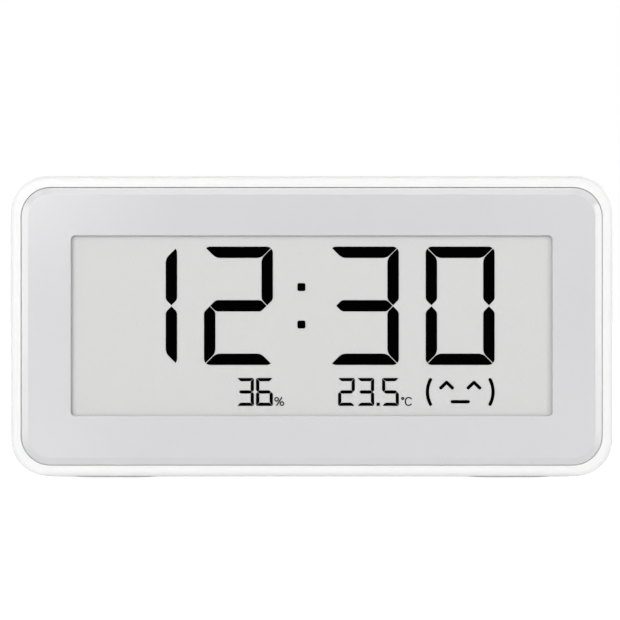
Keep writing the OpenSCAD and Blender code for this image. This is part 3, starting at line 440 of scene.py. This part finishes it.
def mixed(tree, share, low, high):
    """The colour low where the share is 0, and high where it is 1."""
    made = add(tree, "MixRGB")
    for socket, source in zip(made.inputs, (share, low, high)):
        tree.links.new(source, socket)
    return made.outputs[0]


def copper_lines(tree, along, across):
    """1 on the lines of a lane: each lane has its own stretches, some with copper and some without."""
    lanes = maths(tree, "DIVIDE", across, line_pitch)
    lane = maths(tree, "FLOOR", lanes)
    start = add(tree, "TexWhiteNoise")
    start.noise_dimensions = "1D"
    tree.links.new(lane, start.inputs["W"])
    stretch = maths(tree, "ADD", maths(tree, "DIVIDE", along, line_stretch), start.outputs["Value"])
    pick = add(tree, "TexWhiteNoise")
    pick.noise_dimensions = "2D"
    tree.links.new(flat_place(tree, lane, maths(tree, "FLOOR", stretch)), pick.inputs["Vector"])
    off = maths(tree, "ABSOLUTE", maths(tree, "SUBTRACT", maths(tree, "FRACT", lanes), 0.5))
    return maths(tree, "MULTIPLY", maths(tree, "LESS_THAN", off, line_share / 2),
                 maths(tree, "GREATER_THAN", pick.outputs["Value"], bare_share))


board, tree, shader = new_finish("board_green", roughness=0.35)
places = on_piece(tree)
x, _, z = axes(tree, places)
fields = add(tree, "TexVoronoi", {"Scale": 1 / line_field, "Randomness": 0.6})
fields.distance = "CHEBYCHEV"
tree.links.new(places, fields.inputs["Vector"])
own = add(tree, "SeparateColor")
tree.links.new(fields.outputs["Color"], own.inputs[0])
upright = maths(tree, "GREATER_THAN", own.outputs[0], 0.5)
copper = maths(tree, "ADD", maths(tree, "MULTIPLY", copper_lines(tree, z, x), upright),
               maths(tree, "MULTIPLY", copper_lines(tree, x, z), maths(tree, "SUBTRACT", 1.0, upright)))
holes = add(tree, "TexVoronoi", {"Scale": 1 / hole_pitch, "Randomness": 0.8})
holes.voronoi_dimensions = "2D"
tree.links.new(flat_place(tree, x, z), holes.inputs["Vector"])
plating = maths(tree, "LESS_THAN", holes.outputs["Distance"], hole_r / hole_pitch)
# Painted shade: the middle of each plated ring is coloured near-black for the dark inside the hole, which has
# no depth of its own.
painted_bore_shade = maths(tree, "LESS_THAN", holes.outputs["Distance"], bore_share * hole_r / hole_pitch)
mask = tones(tree, copper, dark=(0.011, 0.105, 0.033), light=(0.022, 0.17, 0.058), low=0, high=1)
plated = tones(tree, painted_bore_shade, plate_gold, bore_shade_colour, low=0, high=1)
tree.links.new(mixed(tree, plating, mask, plated), shader.inputs["Base Color"])
wavy = noise(tree, places, scale=900)
tree.links.new(spread(tree, wavy, low=0.28, high=0.42), shader.inputs["Roughness"])
relief(tree, shader, copper, copper_rise)
finish(board, "main_board")


def leaded(name, share, half_body):
    """A chip's black body, with tinned metal where the piece reaches beyond half_body across or up.

    The chip's middle is this share of half the board away from the board's middle.
    """
    made = moulded(name, **chip_body)
    tree = made.node_tree
    shader = tree.nodes["Principled BSDF"]
    middle = (-share[0] * half_board[0], 0, -board_mid_z - share[1] * half_board[1])
    x, _, z = axes(tree, on_piece(tree, place=middle))
    beyond = maths(tree, "MAXIMUM", *[maths(tree, "GREATER_THAN", maths(tree, "ABSOLUTE", axis), half)
                                      for axis, half in zip((x, z), half_body)])
    body = shader.inputs["Base Color"].links[0].from_socket
    frosty = noise(tree, on_piece(tree), scale=2500)
    tin = tones(tree, frosty, dark=(0.58, 0.58, 0.57), light=(0.70, 0.70, 0.69))
    tree.links.new(mixed(tree, beyond, body, tin), shader.inputs["Base Color"])
    tree.links.new(beyond, shader.inputs["Metallic"])
    return made


finish(leaded("controller_black", share=(0.25, 0.3), half_body=(0.0035, 0.0035)), "controller_chip")
finish(leaded("memory_black", share=(-0.16, 0.3), half_body=(0.00195, 1)), "memory_chip")
finish(leaded("diode_black", share=(-0.52, -0.12), half_body=(1, 0.0013)), "diodes")

can_steel = turned("can_steel", dark=(0.56, 0.56, 0.56), light=(0.70, 0.70, 0.69), roughness=0.26,
                   streak=(3000, 3000, 300), depth=0.000002)
finish(can_steel, "main_crystal", "watch_crystal", "switch_cover")
ferrite = moulded("ferrite", dark=(0.03, 0.028, 0.027), light=(0.06, 0.055, 0.052), roughness=0.6,
                  grain=0.0001, depth=0.000006)
finish(ferrite, "boost_inductor")
tantalum_yellow = moulded("tantalum_yellow", dark=(0.62, 0.36, 0.04), light=(0.72, 0.44, 0.06),
                          roughness=0.45, grain=0.0001, depth=0.000004)
finish(tantalum_yellow, "bulk_capacitor")
ceramic_tan = moulded("ceramic_tan", dark=(0.40, 0.27, 0.15), light=(0.50, 0.35, 0.21), roughness=0.5,
                      grain=0.00008, depth=0.000004)
finish(ceramic_tan, "capacitors")
sensor_white = moulded("sensor_white", dark=(0.74, 0.74, 0.72), light=(0.80, 0.80, 0.78), roughness=0.5,
                       grain=0.0001)
finish(sensor_white, "humidity_sensor")
copper_gold = turned("copper_gold", dark=(0.80, 0.52, 0.22), light=(0.92, 0.64, 0.30), roughness=0.3,
                     streak=(2500, 2500, 2500), depth=0.000003)
finish(copper_gold, "antenna")

# End caps of the small capacitors and resistors: tinned metal, wrapped over both ends of each one and
# soldered to the front of the board.

solder_tin = turned("solder_tin", dark=(0.62, 0.62, 0.61), light=(0.74, 0.74, 0.73), roughness=0.3,
                    streak=(2500, 2500, 2500), depth=0.000003)
small_l, small_w, capacitor_h, resistor_h = 0.0016, 0.0008, 0.0008, 0.00045
cap_l, cap_over, cap_edge = 0.00036, 0.00002, 0.00006
cap_x = small_l / 2 + cap_over - cap_l / 2
capacitor_shares = ((0.13, 0.12), (0.13, 0.5), (0.25, 0.02), (0.32, 0.02), (0.38, 0.62), (-0.3, 0.42),
                    (-0.3, 0.18), (-0.42, -0.66), (-0.52, -0.66), (0.25, -0.45), (0.32, -0.45), (0.39, -0.45))
resistor_shares = ((0.13, 0.2), (0.13, 0.42), (0.18, -0.15), (0.25, -0.15), (0.32, -0.15), (-0.3, 0.3),
                   (-0.42, 0.08), (-0.52, 0.08), (0.46, -0.45), (0.53, -0.45))
for name, shares, height in (("capacitor_ends", capacitor_shares, capacitor_h),
                             ("resistor_ends", resistor_shares, resistor_h)):
    cap = block((cap_l, height + cap_over, small_w + 2 * cap_over), cap_edge)
    cap_y = board_front_y - (height + cap_over) / 2
    ends = copies(cap, [(x * half_board[0] + side * cap_x, cap_y, board_mid_z + z * half_board[1])
                        for x, z in shares for side in (-1, 1)])
    settle(ends, name, "root", solder_tin)

# Battery bay: sprung contacts of plated steel reach through its floor to two coin cells, each a drawn
# steel can, a black seal and a cap.

spring_steel = turned("spring_steel", dark=(0.62, 0.60, 0.56), light=(0.78, 0.76, 0.72), roughness=0.25,
                      streak=(700, 4000, 4000), depth=0.000003)
finish(spring_steel, "negative_contacts", "positive_contacts")

cell_x, cell_z, ring_scale, ring_depth = 0.0112, 0.02555, 1100, 0.0000001
cell_steel, tree, shader = new_finish("cell_steel", roughness=0.24, metal=1.0)
x, _, z = axes(tree, on_piece(tree))
centred = flat_place(tree, maths(tree, "SUBTRACT", maths(tree, "ABSOLUTE", x), cell_x),
                     maths(tree, "SUBTRACT", z, cell_z))
rings = add(tree, "TexWave", {"Scale": ring_scale, "Distortion": 2.0, "Detail": 3.0, "Detail Scale": 2.0})
rings.wave_type = "RINGS"
rings.rings_direction = "Z"
tree.links.new(centred, rings.inputs["Vector"])
steel = tones(tree, rings.outputs["Fac"], dark=(0.53, 0.53, 0.53), light=(0.575, 0.575, 0.57), low=0, high=1)
tree.links.new(steel, shader.inputs["Base Color"])
tree.links.new(spread(tree, rings.outputs["Fac"], low=0.26, high=0.34), shader.inputs["Roughness"])
relief(tree, shader, rings.outputs["Fac"], ring_depth)
finish(cell_steel, "left_cell_can", "left_cell_cap", "right_cell_can", "right_cell_cap")

seal_black = moulded("seal_black", dark=(0.02, 0.02, 0.022), light=(0.04, 0.04, 0.042), roughness=0.6,
                     grain=0.0001, depth=0.000004)
finish(seal_black, "left_cell_seal", "right_cell_seal")

# Plus signs on the cells: low crosses of darker metal, stamped on the flat side of each cell, which
# faces the door.

cell_rear_y = 0.00925
mark_l, mark_w, mark_proud, mark_rise = 0.0036, 0.0006, 0.00005, 0.006
bpy.ops.object.select_all(action="DESELECT")
bpy.ops.mesh.primitive_cube_add(size=mark_w)
plus = bpy.context.object
bpy.ops.object.mode_set(mode="EDIT")
bpy.ops.mesh.select_mode(type="FACE")
bpy.ops.mesh.select_all(action="DESELECT")
bpy.ops.object.mode_set(mode="OBJECT")
for face in plus.data.polygons:
    face.select = abs(face.normal.y) < 0.5
bpy.ops.object.mode_set(mode="EDIT")
bpy.ops.mesh.extrude_faces_move(TRANSFORM_OT_shrink_fatten={"value": (mark_l - mark_w) / 2})
bpy.ops.mesh.select_all(action="SELECT")
bpy.ops.mesh.normals_make_consistent(inside=False)
bpy.ops.transform.resize(value=(1, 2 * mark_proud / mark_w, 1))
bpy.ops.object.mode_set(mode="OBJECT")
stamp_grey = turned("stamp_grey", dark=(0.20, 0.20, 0.20), light=(0.28, 0.28, 0.28), roughness=0.5,
                    streak=(2500, 2500, 2500), depth=0.000002)
marks = copies(plus, [(side * cell_x, cell_rear_y, cell_z + mark_rise) for side in (-1, 1)])
settle(marks, "cell_marks", "root", stamp_grey)

# Button on the back: a light grey moulded cap, kept in the housing by its flange. It presses the black
# plunger of a small switch on the board.

button_grey = moulded("button_grey", dark=(0.50, 0.50, 0.51), light=(0.55, 0.55, 0.56), roughness=0.42,
                      grain=0.0002, depth=0.000004)
finish(button_grey, "unit_button")
plunger_black = moulded("plunger_black", dark=(0.02, 0.02, 0.022), light=(0.035, 0.035, 0.037),
                        roughness=0.5, grain=0.0002, depth=0.000004)
finish(plunger_black, "switch_plunger")

# Snap dome in the switch: a shallow cap of thin bronze that lies on the floor of the case. On the real
# switch the plunger flattens it and it springs back; here it is built in its resting shape only.

button_x, button_z, dome_seat_y = -0.0392, 0.03303, 0.00025
dome_r, dome_rise, dome_t, dome_pressed = 0.0023, 0.00045, 0.00008, 0.42
cut_reach = 0.0000001
ball_r = (dome_r ** 2 + dome_rise ** 2) / (2 * dome_rise)
bpy.ops.object.select_all(action="DESELECT")
bpy.ops.mesh.primitive_uv_sphere_add(segments=48, ring_count=96, radius=ball_r,
                                     rotation=(math.radians(-90), 0, 0))
bpy.ops.object.transform_apply(location=False, rotation=True, scale=False)
bpy.ops.object.mode_set(mode="EDIT")
bpy.ops.mesh.select_all(action="SELECT")
bpy.ops.mesh.bisect(plane_co=(0, ball_r - dome_rise, 0), plane_no=(0, 1, 0), clear_inner=True,
                    threshold=cut_reach)
bpy.ops.object.mode_set(mode="OBJECT")
dome = bpy.context.object
leaf = dome.modifiers.new("leaf", "SOLIDIFY")
leaf.thickness = dome_t
leaf.offset = 1
bpy.ops.object.modifier_apply(modifier="leaf")
bpy.ops.object.shade_smooth_by_angle(angle=smooth_below)
dome.location = (button_x, dome_seat_y + dome_rise - ball_r, button_z)
settle(dome, "snap_dome", "root", copper_gold)
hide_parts("switch_dome")
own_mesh(dome)

# Vents: a dust mesh of fine woven wire in a pressed rim lies behind the four slots in the back, beside
# the sensor.

weave_x, weave_y, weave_z = 0.0392, 0.0092, 0.03303
weave_w, weave_h = 0.0112, 0.0105
wire_pitch, wire_r, wire_sides, wire_smooth = 0.0005, 0.00007, 6, math.radians(70)
mesh_grey, tree, shader = new_finish("mesh_grey", roughness=0.42, metal=0.6)
dust = noise(tree, on_piece(tree), scale=900, detail=3)
drawn = tones(tree, dust, dark=(0.10, 0.10, 0.105), light=(0.20, 0.20, 0.205))
tree.links.new(drawn, shader.inputs["Base Color"])
relief(tree, shader, noise(tree, on_piece(tree), scale=9000), depth=0.000003)


def wire(crossings, first, upright):
    """A wire over one wire and under the next, drawn out of its round end one crossing at a time."""
    bpy.ops.object.select_all(action="DESELECT")
    turn = (0, 0, 0) if upright else (0, math.radians(90), 0)
    bpy.ops.mesh.primitive_circle_add(vertices=wire_sides, radius=wire_r, fill_type="NGON", rotation=turn)
    bpy.ops.object.mode_set(mode="EDIT")
    bpy.ops.mesh.select_all(action="SELECT")
    for step in range(crossings - 1):
        rise = -2 * wire_r * first * (-1) ** step
        along = (0, rise, wire_pitch) if upright else (wire_pitch, rise, 0)
        bpy.ops.mesh.extrude_region_move(TRANSFORM_OT_translate={"value": along})
    bpy.ops.mesh.select_all(action="SELECT")
    bpy.ops.mesh.normals_make_consistent(inside=False)
    bpy.ops.object.mode_set(mode="OBJECT")
    bpy.ops.object.shade_smooth_by_angle(angle=wire_smooth)
    return bpy.context.object


columns = round(weave_w / wire_pitch)
rows = round(weave_h / wire_pitch)
left_x, low_z = weave_x - (columns - 1) / 2 * wire_pitch, weave_z - (rows - 1) / 2 * wire_pitch
cloth = []
for first in (0, 1):
    level = 1 - 2 * first
    lying = [(left_x, weave_y + level * wire_r, low_z + row * wire_pitch) for row in range(first, rows, 2)]
    standing = [(left_x + column * wire_pitch, weave_y - level * wire_r, low_z)
                for column in range(first, columns, 2)]
    cloth.append(copies(wire(columns, level, upright=False), lying))
    cloth.append(copies(wire(rows, -level, upright=True), standing))
bpy.ops.object.select_all(action="DESELECT")
for wires in cloth:
    wires.select_set(True)
bpy.context.view_layer.objects.active = cloth[0]
bpy.ops.object.join()
weave = settle(bpy.context.object, "vent_weave", "root", mesh_grey)
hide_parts("vent_mesh")

rim_half_w, rim_half_h, rim_w, rim_t = 0.0057, 0.00535, 0.0008, 0.00028
bpy.ops.object.select_all(action="DESELECT")
bpy.ops.mesh.primitive_plane_add(size=1, rotation=(math.radians(90), 0, 0))
bpy.ops.object.mode_set(mode="EDIT")
bpy.ops.transform.resize(value=(2 * rim_half_w, 1, 2 * rim_half_h))
bpy.ops.mesh.inset(thickness=rim_w)
bpy.ops.mesh.delete(type="FACE")
bpy.ops.object.mode_set(mode="OBJECT")
rim = bpy.context.object
rim.location = (weave_x, weave_y, weave_z)
bpy.ops.object.transform_apply(location=True, rotation=True, scale=True)
sheet = rim.modifiers.new("sheet", "SOLIDIFY")
sheet.thickness = rim_t
sheet.offset = 0
bpy.ops.object.modifier_apply(modifier="sheet")
settle(rim, "vent_rim", "root", mesh_grey)

# Feet: two soft pads of white silicone, let into the underside of the housing and a little proud of it,
# so that the clock doesn't slide.

foot_white = moulded("foot_white", dark=(0.80, 0.80, 0.795), light=(0.84, 0.84, 0.835), roughness=0.6,
                     grain=0.0003, depth=0.000006, level=0.4)
finish(foot_white, "foot_left", "foot_right")
